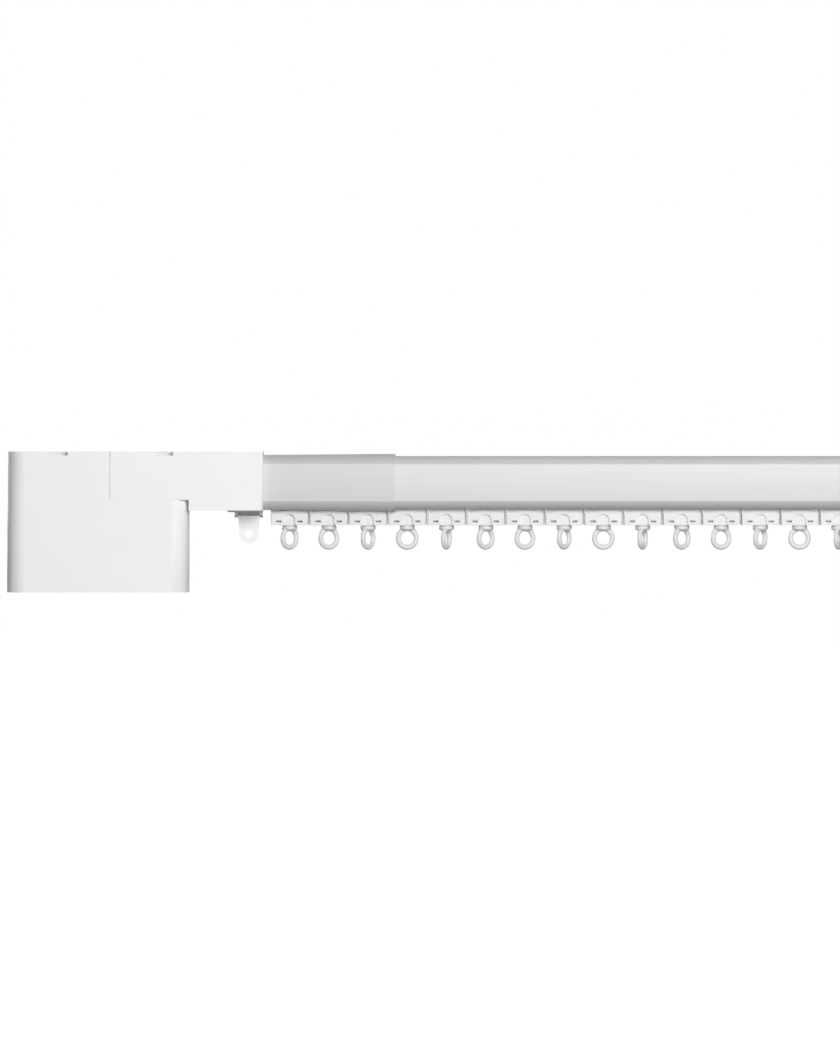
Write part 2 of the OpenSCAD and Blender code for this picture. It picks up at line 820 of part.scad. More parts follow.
module rail() {
    mouth = clip_mouth_w / 2;
    room = clip_slot_w / 2;
    slot_floor = rail_top - lip_t - clip_slot_h;
    inner_half = rail_half - rail_wall;
    color("lightgray") along_x(rail_x0, rail_x1 - rail_x0) difference() {
        union() {
            difference() {
                rail_outline();
                intersection() {
                    rail_outline(-rail_wall);
                    translate([-rail_w, flange_top]) square([2 * rail_w, rail_top - lip_t - flange_top]);
                }
            }
            translate([-room - slot_side_t, slot_floor - slot_floor_t])
                square([2 * (room + slot_side_t), clip_slot_h + slot_floor_t + lip_t / 2]);
            for (s = [-1, 1])
                translate([s > 0 ? ledge_in : -inner_half - rail_wall / 2, ledge_top - ledge_t])
                    square([inner_half + rail_wall / 2 - ledge_in, ledge_t]);
        }
        translate([-room, slot_floor]) square([2 * room, clip_slot_h]);
        translate([-mouth, slot_floor]) square([2 * mouth, clip_slot_h + lip_t + cut]);
        translate([-rail_slot_w / 2, rail_bottom - cut]) square([rail_slot_w, rail_floor_t + 2 * cut]);
    }
}

// The sleeve starts flush with the gear head's mouth and flares a little towards its own mouth.
module rail_sleeve() {
    end_t = 0.5;
    side_gap = 1;
    slot_half = runner_depth / 2 + side_gap;
    slot_rise = 2;
    slot_top = rail_bottom + slot_rise;
    slot_bottom = rail_bottom - sleeve_wall - sleeve_flare - socket_gap - cut;
    color("silver") difference() {
        hull() {
            along_x(head_x1, end_t) rail_outline(socket_gap + sleeve_wall, $fn = hull_fn);
            along_x(head_x1 + sleeve_len - end_t, end_t)
                rail_outline(socket_gap + sleeve_wall + sleeve_flare, $fn = hull_fn);
        }
        along_x(head_x1 - cut, sleeve_len + 2 * cut) rail_outline(socket_gap);
        box(head_x1 - cut, head_x1 + sleeve_len + cut, slot_half, slot_bottom, slot_top);
    }
}

// Runners and eyelets

// The arch over an eyelet, sunk into the runner's front and rear faces, with a flared foot.
module arch_outline() {
    top = body_top - arch_drop;
    translate([0, top - recess_half]) circle(recess_half);
    translate([-recess_half, body_bottom - cut])
        square([2 * recess_half, top - recess_half - body_bottom + cut]);
    difference() {
        translate([-recess_half - recess_flare, body_bottom - cut])
            square([2 * (recess_half + recess_flare), recess_flare + cut]);
        for (s = [-1, 1])
            translate([s * (recess_half + recess_flare), body_bottom + recess_flare]) circle(recess_flare);
    }
}

// A body under the rail with a crowned top edge and soft lower corners, centred on x = 0.
module crowned_body(length, r) {
    half = length / 2;
    crown_r = half * half / (2 * runner_crown) + runner_crown / 2;
    intersection() {
        along_y(-runner_depth / 2, runner_depth) intersection() {
            union() {
                translate([-half, body_bottom + r]) square([length, runner_h]);
                translate([r - half, body_bottom]) square([length - 2 * r, runner_h]);
                for (s = [-1, 1]) translate([s * (half - r), body_bottom + r]) circle(r);
            }
            translate([0, body_top - crown_r]) circle(crown_r, $fn = crown_fn);
        }
        block(-half, half, runner_depth, body_bottom - cut, body_top + cut, r, r);
    }
}

module runner(k) {
    half = runner_len / 2;
    neck = half - neck_inset;
    shoe_end = half - shoe_inset;
    face = runner_depth / 2 - recess_depth;
    neck_z = body_top - runner_crown - body_overlap;
    color("white") translate([runner_x(k), 0, 0]) difference() {
        union() {
            crowned_body(runner_len, body_corner_r);
            box(-neck, neck, neck_half, neck_z, shoe_z0 + cut);
            box(-half, post_t - half, post_half, neck_z, post_top);
            box(half - cut, half + bumper_len, bumper_half, body_bottom + body_corner_r, shoe_z0);
            block(-shoe_end, shoe_end, 2 * shoe_half, shoe_z0, shoe_z0 + shoe_h, shoe_r, shoe_r);
        }
        rod(0, 0, body_bottom - cut, body_bottom + seat_depth, seat_r);
        rod(0, 0, body_bottom - cut, stem_floor + cut, stem_r + bearing_gap);
        rod(0, 0, stem_floor, shoe_z0 + shoe_h + cut, stem_room_r);
        for (side = [-1, 1]) {
            along_y(side > 0 ? face : -face - recess_depth - cut, recess_depth + cut) arch_outline();
            for (s = [-1, 1])
                translate([s * vent_x - vent_w / 2, side * runner_depth / 2 - vent_depth, vent_z])
                    cube([vent_w, 2 * vent_depth, vent_h]);
        }
    }
}

// A half ring in the X and Z plane, above or below the centre that it is drawn at.
module half_ring(up) {
    rotate([90, 0, up > 0 ? 0 : 180]) rotate([0, 0, up > 0 ? 0 : 180])
        rotate_extrude(angle = 180) translate([eyelet_r, 0]) circle(eyelet_section_r);
}

module eyelet(k) {
    color("white") translate([runner_x(k), 0, 0]) rotate(yaw_of(k)) {
        translate([0, 0, ring_top_z]) half_ring(1);
        translate([0, 0, ring_bottom_z]) half_ring(-1);
        for (s = [-1, 1]) rod(s * eyelet_r, 0, ring_bottom_z, ring_top_z, eyelet_section_r);
        rod(0, 0, collar_top - collar_h, collar_top, collar_r);
        rod(0, 0, collar_top - stem_root, body_bottom + boss_reach, boss_r);
        translate([0, 0, collar_top - collar_h - collar_taper])
            cylinder(h = collar_taper, r1 = collar_r - collar_chamfer, r2 = collar_r);
        rod(0, 0, collar_top - stem_root, stem_floor + fit_gap + stem_head_h, stem_r);
        rod(0, 0, stem_floor + fit_gap, stem_floor + fit_gap + stem_head_h, stem_room_r - run_gap);
    }
}

// Lead carriage

module carriage_body() {
    half = carriage_len / 2 - chassis_inset;
    tongue = arm_len / 2 - arm_shoulder + fit_gap;
    neck_z = body_top - runner_crown - body_overlap;
    color("white") translate([carriage_x, 0, 0]) difference() {
        union() {
            crowned_body(carriage_len, carriage_corner_r);
            box(-half, half, neck_half, neck_z, chassis_bottom + cut);
            box(-half, half, chassis_half, chassis_bottom, chassis_top);
        }
        for (s = [-1, 1])
            along_y(-chassis_half - cut, 2 * (chassis_half + cut))
                translate([s * axle_x, axle_z]) circle(axle_r + bearing_gap);
        clamp_screw_pair(fit_gap);
        box(-tongue, tongue, arm_t / 2 + fit_gap, body_bottom - cut, body_bottom + arm_tongue + fit_gap);
    }
}

module carriage_arm() {
    half = arm_len / 2;
    r = arm_drop / 2;
    hole_z = body_bottom - arm_drop + r;
    color("white") translate([carriage_x, 0, 0]) along_y(-arm_t / 2, arm_t) difference() {
        union() {
            translate([arm_shoulder - half, body_bottom - r / 2])
                square([arm_len - 2 * arm_shoulder, arm_tongue + r / 2]);
            translate([-half, hole_z]) square([arm_len, r - fit_gap]);
            translate([-half + r, body_bottom - arm_drop]) square([arm_len - 2 * r, r]);
            for (s = [-1, 1]) translate([s * (half - r), hole_z]) circle(r);
        }
        for (s = [-1, 1]) translate([s * arm_hole_spacing / 2, hole_z]) circle(hook_hole_r);
    }
}

// Two wheels on one axle, at the end of the carriage that s names.
module carriage_axle(s) {
    reach = wheel_in + wheel_w;
    color("gainsboro") translate([carriage_x + s * axle_x, 0, 0]) {
        along_y(-reach - axle_end, 2 * (reach + axle_end)) translate([0, axle_z]) circle(axle_r);
        for (side = [-1, 1])
            along_y(side > 0 ? wheel_in : -reach, wheel_w) translate([0, axle_z]) circle(wheel_r);
    }
}

// The jaws that hold the front run of the belt to the carriage.
module belt_clamp() {
    seat = chassis_top + fit_gap / 2;
    inner = -belt_inner_r + tooth_h + jaw_gap;
    outer = -belt_outer_r - jaw_gap;
    bridge_top = belt_bottom - jaw_gap;
    bridge_bottom = ledge_top + run_gap;
    jaw_top = belt_top - jaw_drop;
    bridge_w = inner - outer + jaw_t + jaw_post_t / 2;
    color("gainsboro") translate([carriage_x, 0, 0]) difference() {
        along_x(-clamp_len / 2, clamp_len) {
            translate([inner, seat]) square([chassis_half - inner, clamp_base_t]);
            translate([inner, seat]) square([jaw_post_t, jaw_top - seat]);
            translate([outer - jaw_t, bridge_bottom]) square([bridge_w, bridge_top - bridge_bottom]);
            translate([outer - jaw_t, bridge_bottom]) square([jaw_t, jaw_top - bridge_bottom]);
        }
        clamp_screw_pair(fit_gap);
    }
}

// The two screws, about the carriage's middle, that hold the clamp down, or their holes.
module clamp_screw_pair(grow = 0) {
    for (s = [-1, 1])
        screw(s * clamp_screw_x, 0, chassis_top + fit_gap / 2 + clamp_base_t, -1, grow, clamp_screw_len);
}

module clamp_screws() {
    color("silver") translate([carriage_x, 0, 0]) clamp_screw_pair();
}

// End hook

// The plate under the gear head, with the two lugs that carry the pin.
module hook_bracket() {
    half = tab_w / 2 + fit_gap;
    color("dimgray") difference() {
        union() {
            box(hook_plate_x1 - hook_plate_len, hook_plate_x1, hook_plate_half, hook_plate_bottom, -head_h);
            for (x = [hook_x - half - lug_t, hook_x + half]) {
                along_x(x, lug_t) translate([0, hook_pin_z]) circle(lug_r);
                box(x, x + lug_t, lug_r, hook_pin_z, hook_plate_bottom + lug_overlap);
            }
            translate([hook_x - half - lug_t, tab_clip_r + run_gap, hook_pin_z + lip_lift])
                cube([2 * (half + lug_t), lip_plate_t, hook_pin_drop]);
        }
        along_x(hook_x - half - lug_t - cut, 2 * (half + lug_t + cut))
            translate([0, hook_pin_z]) circle(hook_pin_r);
    }
}

module hook_pin() {
    half = tab_w / 2 + fit_gap + lug_t;
    color("dimgray") along_x(hook_x - half, 2 * half) translate([0, hook_pin_z]) circle(hook_pin_r);
}

// A tongue with a hook hole, clipped over the pin from behind so that the pin's front shows.
module hook_tab() {
    half = tab_w / 2;
    tip_z = hook_pin_z - tab_drop + tab_tip_r;
    color("white") {
        difference() {
            along_y(-tab_t / 2, tab_t) translate([hook_x, 0]) difference() {
                union() {
                    polygon([[-half, tab_top], [half, tab_top], [tab_tip_r, tip_z], [-tab_tip_r, tip_z]]);
                    translate([0, tip_z]) circle(tab_tip_r);
                }
                translate([0, tip_z]) circle(hook_hole_r);
            }
            along_x(hook_x - half - cut, tab_w + 2 * cut)
                translate([0, hook_pin_z]) circle(hook_pin_r + bearing_gap);
        }
        along_x(hook_x - half, tab_w) difference() {
            translate([0, hook_pin_z]) circle(tab_clip_r);
            translate([0, hook_pin_z]) circle(hook_pin_r + bearing_gap);
            translate([-tab_clip_r - cut, hook_pin_z - clip_wrap])
                square([tab_clip_r + cut - clip_edge, tab_clip_r + clip_wrap + cut]);
        }
    }
}

// Tail

module tail_case() {
    color("whitesmoke") difference() {
        union() {
            difference() {
                block(tail_x0, tail_x1, unit_depth, -head_h, 0, mouth_r, corner_r);
                block(rail_x1, tail_x1 - wall, unit_depth - 2 * wall, -head_h - cut, -wall,
                      seam_r, corner_r - wall);
            }
            rod(centre_distance, 0, pulley_top + flange_t + axle_boss_gap, -wall / 2, axle_boss_r);
            intersection() {
                for (p = tail_points) rod(p[0], p[1], -head_h + base_t + fit_gap, -wall / 2, post_r);
                block(rail_x1 - wall / 2, tail_x1 - wall / 2, unit_depth - wall, -head_h, 0,
                      seam_r, corner_r - wall / 2);
            }
        }
        rod(centre_distance, 0, -head_h, -wall, shaft_r + fit_gap / 2);
        for (p = tail_points) screw(p[0], p[1], -head_h, 1, fit_gap);
        along_x(tail_x0 - cut, tail_socket_len + cut) rail_outline(socket_gap);
    }
}

module tail_cover() {
    inset = wall + fit_gap;
    color("whitesmoke") difference() {
        union() {
            block(rail_x1 + fit_gap, tail_x1 - inset, unit_depth - 2 * inset, -head_h, -head_h + base_t,
                  seam_r, corner_r - inset);
            rod(centre_distance, 0, -head_h, pulley_bottom - flange_t - axle_boss_gap, axle_boss_r);
        }
        rod(centre_distance, 0, -head_h + axle_floor_t, 0, shaft_r + fit_gap / 2);
        for (p = tail_points) screw(p[0], p[1], -head_h, 1, fit_gap);
    }
}

module tail_axle() {
    color("silver") rod(centre_distance, 0, -head_h + axle_floor_t + fit_gap, -wall - fit_gap, shaft_r);
}

module tail_pulley() {
    color("ivory") translate([centre_distance, 0, 0]) difference() {
        toothed_pulley();
        rod(0, 0, pulley_bottom - flange_t - cut, pulley_top + flange_t + cut, shaft_r + bearing_gap);
    }
}

motor_housing();
motor_base();
gear_motor();
circuit_board();
power_module();
power_socket();
status_light();
setting_button();
gear_head_case();
gear_head_base();
drive_bearings();
drive_shaft();
drive_pulley();
drive_belt();
rail();
rail_sleeve();
case_screws();
hook_bracket();
hook_pin();
hook_tab();
tail_case();
tail_cover();
tail_axle();
tail_pulley();
carriage_body();
carriage_axle(-1);  // carriage_axle_near
carriage_axle(1);  // carriage_axle_far
carriage_arm();
belt_clamp();
clamp_screws();
for (k = [1:runner_count]) {
    runner(k);
    eyelet(k);
}
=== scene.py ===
"""Looks of an electric curtain track: finishes for its solids, a lip in its seam, screws and a studio."""

import math

import bmesh
import bpy
from bpy.props import FloatProperty, FloatVectorProperty, IntProperty, PointerProperty
from mathutils import Matrix, Vector


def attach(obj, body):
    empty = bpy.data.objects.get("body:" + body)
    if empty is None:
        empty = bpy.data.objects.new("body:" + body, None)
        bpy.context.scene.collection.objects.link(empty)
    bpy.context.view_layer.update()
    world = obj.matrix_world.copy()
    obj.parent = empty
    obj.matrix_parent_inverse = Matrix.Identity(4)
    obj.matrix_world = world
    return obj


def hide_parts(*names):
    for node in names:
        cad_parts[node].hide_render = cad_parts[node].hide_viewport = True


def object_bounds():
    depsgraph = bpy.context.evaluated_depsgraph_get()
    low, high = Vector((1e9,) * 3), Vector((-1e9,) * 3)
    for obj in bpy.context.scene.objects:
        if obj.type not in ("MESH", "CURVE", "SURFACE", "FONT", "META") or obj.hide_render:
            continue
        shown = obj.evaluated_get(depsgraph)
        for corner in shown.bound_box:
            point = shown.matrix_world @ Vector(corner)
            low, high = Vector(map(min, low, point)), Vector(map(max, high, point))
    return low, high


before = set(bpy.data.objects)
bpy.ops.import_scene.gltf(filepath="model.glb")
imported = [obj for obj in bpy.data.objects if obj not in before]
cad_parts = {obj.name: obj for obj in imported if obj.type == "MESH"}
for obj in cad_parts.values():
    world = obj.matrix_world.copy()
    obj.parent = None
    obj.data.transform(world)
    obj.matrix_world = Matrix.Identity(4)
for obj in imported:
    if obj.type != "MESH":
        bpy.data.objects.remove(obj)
CAD_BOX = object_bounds()

bl_info = {
    "name": "Electric Curtain Track",
    "version": (1, 0, 0),
    "blender": (4, 5, 0),
    "location": "3D View > Sidebar > Curtain Track",
    "description": "Dresses the solids of an electric curtain track and sets up its studio",
    "category": "Object",
}

MM = 0.001

# Most of a noise texture's values lie in this span, so it is stretched to the whole range.
NOISE_LOW, NOISE_HIGH = 0.3, 0.7


def linear(code):
    """An sRGB hex colour as linear red, green and blue."""
    parts = [int(code[i:i + 2], 16) / 255 for i in (1, 3, 5)]
    return tuple(c / 12.92 if c <= 0.04045 else ((c + 0.055) / 1.055) ** 2.4 for c in parts)


def add(tree, kind, links=None, inputs=None, **settings):
    """Adds a node, sets its properties and unlinked inputs, and links other inputs to output sockets."""
    node = tree.nodes.new(kind)
    for name, value in settings.items():
        setattr(node, name, value)
    for name, value in (inputs or {}).items():
        node.inputs[name].default_value = value
    for name, socket in (links or {}).items():
        tree.links.new(socket, node.inputs[name])
    return node


def box_of(verts):
    """Lowest and highest corner of some vertices."""
    spans = [sorted(v.co[i] for v in verts) for i in range(3)]
    return Vector(s[0] for s in spans), Vector(s[-1] for s in spans)


# Properties

class FinishProperties(bpy.types.PropertyGroup):
    """Colours of the track's finishes."""

    case: FloatVectorProperty(
        name="Case", description="Moulded cases of the motor, gear head and tail, and the end hook's tab",
        subtype="COLOR", size=3, min=0, max=1, default=linear("#F3F3F1"))
    rail: FloatVectorProperty(
        name="Rail", description="Coated aluminium of the rail", subtype="COLOR",
        size=3, min=0, max=1, default=linear("#D2D2D2"))
    sleeve: FloatVectorProperty(
        name="Sleeve", description="Coated aluminium of the sleeve by the gear head", subtype="COLOR",
        size=3, min=0, max=1, default=linear("#CBCBCB"))
    runner: FloatVectorProperty(
        name="Runner", description="Moulded acetal of the runners and eyelets", subtype="COLOR",
        size=3, min=0, max=1, default=linear("#E2E2E2"))
    bracket: FloatVectorProperty(
        name="Bracket", description="Blackened steel of the end hook's bracket", subtype="COLOR",
        size=3, min=0, max=1, default=linear("#8C8A89"))


class SizeProperties(bpy.types.PropertyGroup):
    """Sizes of the details that are finer than the solids."""

    case_edge: FloatProperty(
        name="Case edge", description="Rounding of the cases' crisp edges", unit="LENGTH",
        min=0, max=1 * MM, default=0.1 * MM)
    runner_edge: FloatProperty(
        name="Runner edge", description="Rounding of the edges of runners and small mouldings",
        unit="LENGTH", min=0, max=0.5 * MM, default=0.22 * MM)
    metal_edge: FloatProperty(
        name="Metal edge", description="Rounding of the edges of the metal pieces", unit="LENGTH",
        min=0, max=0.5 * MM, default=0.15 * MM)
    cross_width: FloatProperty(
        name="Cross width", description="Width of the arms of a screw's driver cross", unit="LENGTH",
        min=0.2 * MM, max=1 * MM, default=0.55 * MM)
    cross_depth: FloatProperty(
        name="Cross depth", description="Depth of a screw's driver cross", unit="LENGTH",
        min=0.2 * MM, max=1.2 * MM, default=0.8 * MM)
    rail_swell: FloatProperty(
        name="Rail swell", description="Rise of the rail's sides between their edges, in the shading alone",
        unit="LENGTH", min=0, max=1 * MM, default=0.8 * MM)
    pocket_length: FloatProperty(
        name="Pocket length", description="Length of a clip pocket along the rail", unit="LENGTH",
        default=11.2 * MM)
    pocket_height: FloatProperty(
        name="Pocket height", description="Height of a clip pocket", unit="LENGTH", default=2.1 * MM)
    pocket_places: FloatVectorProperty(
        name="Pocket places", description="Middles of the clip pockets along the rail", unit="LENGTH",
        size=2, default=(-46.8 * MM, 8.8 * MM))
    seam_width: FloatProperty(
        name="Seam width", description="Gap between the motor housing and the gear head", unit="LENGTH",
        default=0.1 * MM)
    seat_height: FloatProperty(
        name="Seat height", description="Height of the gear head above its seam with the motor housing",
        unit="LENGTH", default=25.6 * MM)
    corner_radius: FloatProperty(
        name="Corner radius", description="Radius of the motor housing's upright corners", unit="LENGTH",
        default=9 * MM)
    lip_recess: FloatProperty(
        name="Lip recess", description="Depth of the seam's lip behind the cases' faces", unit="LENGTH",
        min=0, max=1 * MM, default=0.15 * MM)
    board_height: FloatProperty(
        name="Board height", description="Height of the middle of the control board", unit="LENGTH",
        default=-64.7 * MM)
    board_thickness: FloatProperty(
        name="Board thickness", description="Thickness of the control board's laminate", unit="LENGTH",
        min=0.4 * MM, max=3.2 * MM, default=1.6 * MM)
    screw_sides: IntProperty(
        name="Screw sides", description="Sides of a turned screw", min=16, max=96, default=48)


class StageProperties(bpy.types.PropertyGroup):
    """Camera and light of the studio."""

    view_height: FloatProperty(
        name="View height", description="Height of the picture at the track", unit="LENGTH", default=0.5515)
    view_centre: FloatVectorProperty(
        name="View centre", description="Point of the track in the middle of the picture", subtype="XYZ",
        unit="LENGTH", size=3, default=(0.1450, 0.0, -0.0362))
    lens: FloatProperty(
        name="Lens", description="Focal length, long enough to keep the rail level",
        subtype="DISTANCE_CAMERA", default=400)
    floor_drop: FloatProperty(
        name="Floor drop", description="Floor below the track's lowest point", unit="LENGTH", default=0.35)
    light_distance: FloatProperty(
        name="Light distance", description="Distance of the soft lights from the picture's middle",
        unit="LENGTH", default=1.5)
    light_size: FloatVectorProperty(
        name="Light size", description="Width and height of the soft lights", unit="LENGTH", size=2,
        default=(0.9, 0.7))
    key_watts: FloatProperty(
        name="Key light", description="Power of the soft light in front, a little to the right",
        unit="POWER", default=20.5)
    key_aim: FloatVectorProperty(
        name="Key direction", description="Turn from the front to the right, and rise", unit="ROTATION",
        size=2, default=(math.radians(12), math.radians(12)))
    back_watts: FloatProperty(
        name="Back light", description="Power of the soft light behind, a little to the left",
        unit="POWER", default=15)
    back_aim: FloatVectorProperty(
        name="Back direction", description="Turn from the front to the right, and rise", unit="ROTATION",
        size=2, default=(math.radians(210), math.radians(10)))
    fill: FloatProperty(
        name="Fill", description="Strength of the even light from all round", min=0, default=0.12)


# Materials

def surface(name, **inputs):
    """A new material whose constant sockets are set, its shader and its object coordinates in metres."""
    material = bpy.data.materials.new(name)
    material.use_nodes = True
    tree = material.node_tree
    shader = tree.nodes["Principled BSDF"]
    for socket, value in inputs.items():
        shader.inputs[socket.replace("_", " ")].default_value = value
    place = add(tree, "ShaderNodeTexCoord").outputs["Object"]
    return material, tree, shader, place


def tinted(colour, factor):
    """A linear colour, lighter or darker by a factor, as four channels."""
    return (*(min(1.0, c * factor) for c in colour), 1.0)


def mottle(tree, place, size, low, high):
    """A slow noise with patches of one real size, spread between two values."""
    noise = add(tree, "ShaderNodeTexNoise", {"Vector": place}, {"Scale": 1 / size, "Detail": 3.0})
    spread = add(tree, "ShaderNodeMapRange", {"Value": noise.outputs["Fac"]},
                 {"From Min": NOISE_LOW, "From Max": NOISE_HIGH, "To Min": low, "To Max": high})
    return spread.outputs["Result"]


def shade_between(tree, factor, dark, light):
    """A colour socket that runs from dark to light with a factor."""
    mix = add(tree, "ShaderNodeMix", {"Factor": factor}, {"A": dark, "B": light}, data_type="RGBA")
    return mix.outputs["Result"]


def within(tree, value, middle, reach):
    """1 where a value is no further than reach from a middle, and 0 elsewhere."""
    near = add(tree, "ShaderNodeMath", {0: value}, {1: middle, 2: reach}, operation="COMPARE")
    return near.outputs[0]


def moulded(name, colour, roughness, grain, depth, spread=0.02, **inputs):
    """A moulded plastic: an eroded grain, shown coarser than it is, flow marks and a change of gloss."""
    flow_size, gloss_size, gloss_change, relief = 38 * MM, 11 * MM, 0.05, 0.25
    material, tree, shader, place = surface(name, **inputs)
    flow = mottle(tree, place, flow_size, 0.0, 1.0)
    shade = shade_between(tree, flow, tinted(colour, 1 - spread), tinted(colour, 1 + spread / 2))
    tree.links.new(shade, shader.inputs["Base Color"])
    gloss = mottle(tree, place, gloss_size, roughness - gloss_change, roughness + gloss_change)
    tree.links.new(gloss, shader.inputs["Roughness"])
    pits = add(tree, "ShaderNodeTexNoise", {"Vector": place}, {"Scale": 1 / grain, "Detail": 2.0})
    bump = add(tree, "ShaderNodeBump", {"Height": pits.outputs["Fac"]},
               {"Strength": relief, "Distance": depth})
    tree.links.new(bump.outputs["Normal"], shader.inputs["Normal"])
    return material


def drawn_metal(name, colour, roughness, line, depth, run, **inputs):
    """A drawn metal: long fine lines along one axis, shown coarser than they are."""
    line_length, dark, light, smoother, duller, relief = 120 * line, 0.96, 1.03, 0.05, 0.06, 0.2
    material, tree, shader, place = surface(name, **inputs)
    along = [1 / line] * 3
    along["XYZ".index(run)] = 1 / line_length
    stretched = add(tree, "ShaderNodeMapping", {"Vector": place}, {"Scale": along}).outputs["Vector"]
    noise = add(tree, "ShaderNodeTexNoise", {"Vector": stretched}, {"Scale": 1.0, "Detail": 2.0})
    lines = noise.outputs["Fac"]
    shade = shade_between(tree, lines, tinted(colour, dark), tinted(colour, light))
    tree.links.new(shade, shader.inputs["Base Color"])
    gloss = add(tree, "ShaderNodeMapRange", {"Value": lines},
                {"From Min": NOISE_LOW, "From Max": NOISE_HIGH,
                 "To Min": roughness - smoother, "To Max": roughness + duller})
    tree.links.new(gloss.outputs["Result"], shader.inputs["Roughness"])
    bump = add(tree, "ShaderNodeBump", {"Height": lines}, {"Strength": relief, "Distance": depth})
    tree.links.new(bump.outputs["Normal"], shader.inputs["Normal"])
    return material


def abs_case(finish):
    # ABS moulded in an eroded tool: a pale satin skin with almost no glare. The real grain is about
    # 0.1 mm, so it is drawn at 0.7 mm to show at all.
    return moulded("abs_case", finish.case, roughness=0.5, grain=0.7 * MM, depth=0.03 * MM,
                   spread=0.01, Specular_IOR_Level=0.3)


def case_with_painted_pocket_shade(finish, sizes):
    # The same ABS on the cases with clip pockets, whose walls carry a painted shade, a shade greyer,
    # standing in for the shadow in these recesses.
    material = abs_case(finish)
    tree = material.node_tree
    base = tree.nodes["Principled BSDF"].inputs["Base Color"]
    place = add(tree, "ShaderNodeTexCoord").outputs["Object"]
    x, y, z = add(tree, "ShaderNodeSeparateXYZ", {"Vector": place}).outputs
    # Darkening factor of the painted shade on the pocket walls.
    skin, pocket_painted_shade = 0.05 * MM, 0.84
    half_depth = box_of(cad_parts["gear_head_case"].data.vertices)[1].y
    reach = sizes.pocket_length / 2 + skin
    left, right = (within(tree, x, middle, reach) for middle in sizes.pocket_places)
    along = add(tree, "ShaderNodeMath", {0: left, 1: right}, operation="MAXIMUM").outputs[0]
    deep = within(tree, y, 0.0, half_depth - 2 * skin)
    low = within(tree, z, -sizes.pocket_height / 2 - skin, sizes.pocket_height / 2)
    painted_shade_mask = add(tree, "ShaderNodeMath", {0: along, 1: deep}, operation="MULTIPLY").outputs[0]
    painted_shade_mask = add(tree, "ShaderNodeMath", {0: painted_shade_mask, 1: low}, operation="MULTIPLY").outputs[0]
    # Painted shade: inside the pockets the case colour is darkened, as if in shadow.
    mix = add(tree, "ShaderNodeMix", {"Factor": painted_shade_mask, "A": base.links[0].from_socket},
              {"B": tinted(finish.case, pocket_painted_shade)}, data_type="RGBA")
    tree.links.new(mix.outputs["Result"], base)
    return material


def acetal(finish):
    # Acetal moulded in a polished tool: bright, slightly waxy and slick, with soft highlights on its edges.
    return moulded("acetal_runner", finish.runner, roughness=0.4, grain=0.9 * MM, depth=0.015 * MM,
                   IOR=1.48, Specular_IOR_Level=0.3)


def coated_rail(name, colour, node, rise):
    # Extruded aluminium under a thin pale coat: an even satin with faint die lines along the rail, and
    # sides that swell a little between their edges, so they shade from top to bottom. The real lines are
    # some 0.05 mm wide, so they are drawn at 0.6 mm.
    material = drawn_metal(name, colour, roughness=0.42, line=0.6 * MM, depth=0.01 * MM, run="X",
                           Specular_IOR_Level=0.5)
    low, high = box_of(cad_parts[node].data.vertices)
    middle, half = (low.z + high.z) / 2, (high.z - low.z) / 2
    tree = material.node_tree
    normal = tree.nodes["Principled BSDF"].inputs["Normal"]
    place = add(tree, "ShaderNodeTexCoord").outputs["Object"]
    height = add(tree, "ShaderNodeSeparateXYZ", {"Vector": place}).outputs["Z"]
    away = add(tree, "ShaderNodeMath", {0: height}, {1: middle}, operation="SUBTRACT").outputs[0]
    square = add(tree, "ShaderNodeMath", {0: away}, {1: 2.0}, operation="POWER").outputs[0]
    swell = add(tree, "ShaderNodeBump", {"Height": square, "Normal": normal.links[0].from_socket},
                {"Strength": 1.0, "Distance": rise / half ** 2}, invert=True)
    tree.links.new(swell.outputs["Normal"], normal)
    return material


def blackened_steel(finish):
    # Pressed steel, chemically blackened: dark and dull, with a slight oily sheen.
    return drawn_metal("blackened_steel", finish.bracket, roughness=0.45, line=0.3 * MM, depth=0.01 * MM,
                       run="X", Metallic=1.0)


def plated_steel():
    # Zinc-plated steel from drawn bar: bright, a little blue, with fine lines along upright pieces.
    return drawn_metal("plated_steel", linear("#C9CBCE"), roughness=0.3, line=0.25 * MM, depth=0.006 * MM,
                       run="Z", Metallic=1.0)


def dark_moulding():
    # Glass-filled nylon, black: a dry, slightly mottled skin.
    return moulded("black_nylon", linear("#2A2B2D"), roughness=0.55, grain=0.6 * MM, depth=0.03 * MM,
                   spread=0.12)


def grey_moulding():
    # Unpainted grey ABS, for pieces that nobody looks at.
    return moulded("grey_abs", linear("#BFC0C3"), roughness=0.48, grain=0.7 * MM, depth=0.03 * MM,
                   spread=0.04)


def pulley_acetal():
    # Unbleached acetal: ivory, slick and even.
    return moulded("ivory_acetal", linear("#E6E1D2"), roughness=0.36, grain=0.8 * MM, depth=0.015 * MM,
                   IOR=1.48)


def belt_rubber():
    # Neoprene with a fabric face on its teeth: black, dry and a little rough.
    return moulded("belt_neoprene", linear("#252526"), roughness=0.72, grain=0.5 * MM, depth=0.06 * MM,
                   spread=0.15)


def board_laminate(middle, thickness):
    # Glass-fibre laminate under solder mask: green and glossy, with copper areas showing as darker patches.
    # The parts that stand on it are black moulded epoxy.
    material, tree, shader, place = surface("board_laminate", Roughness=0.3, Coat_Weight=0.3)
    copper_size, copper_shade, skin = 6 * MM, 0.8, 0.05 * thickness
    copper = mottle(tree, place, copper_size, 0.0, 1.0)
    dark, light = tinted(linear("#1C5A38"), copper_shade), tinted(linear("#2C7A4C"), 1.0)
    green = shade_between(tree, copper, dark, light)
    height = add(tree, "ShaderNodeSeparateXYZ", {"Vector": place}).outputs["Z"]
    board = within(tree, height, middle, thickness / 2 + skin)
    mix = add(tree, "ShaderNodeMix", {"Factor": board, "B": green}, {"A": tinted(linear("#232325"), 1.0)},
              data_type="RGBA")
    tree.links.new(mix.outputs["Result"], shader.inputs["Base Color"])
    return material


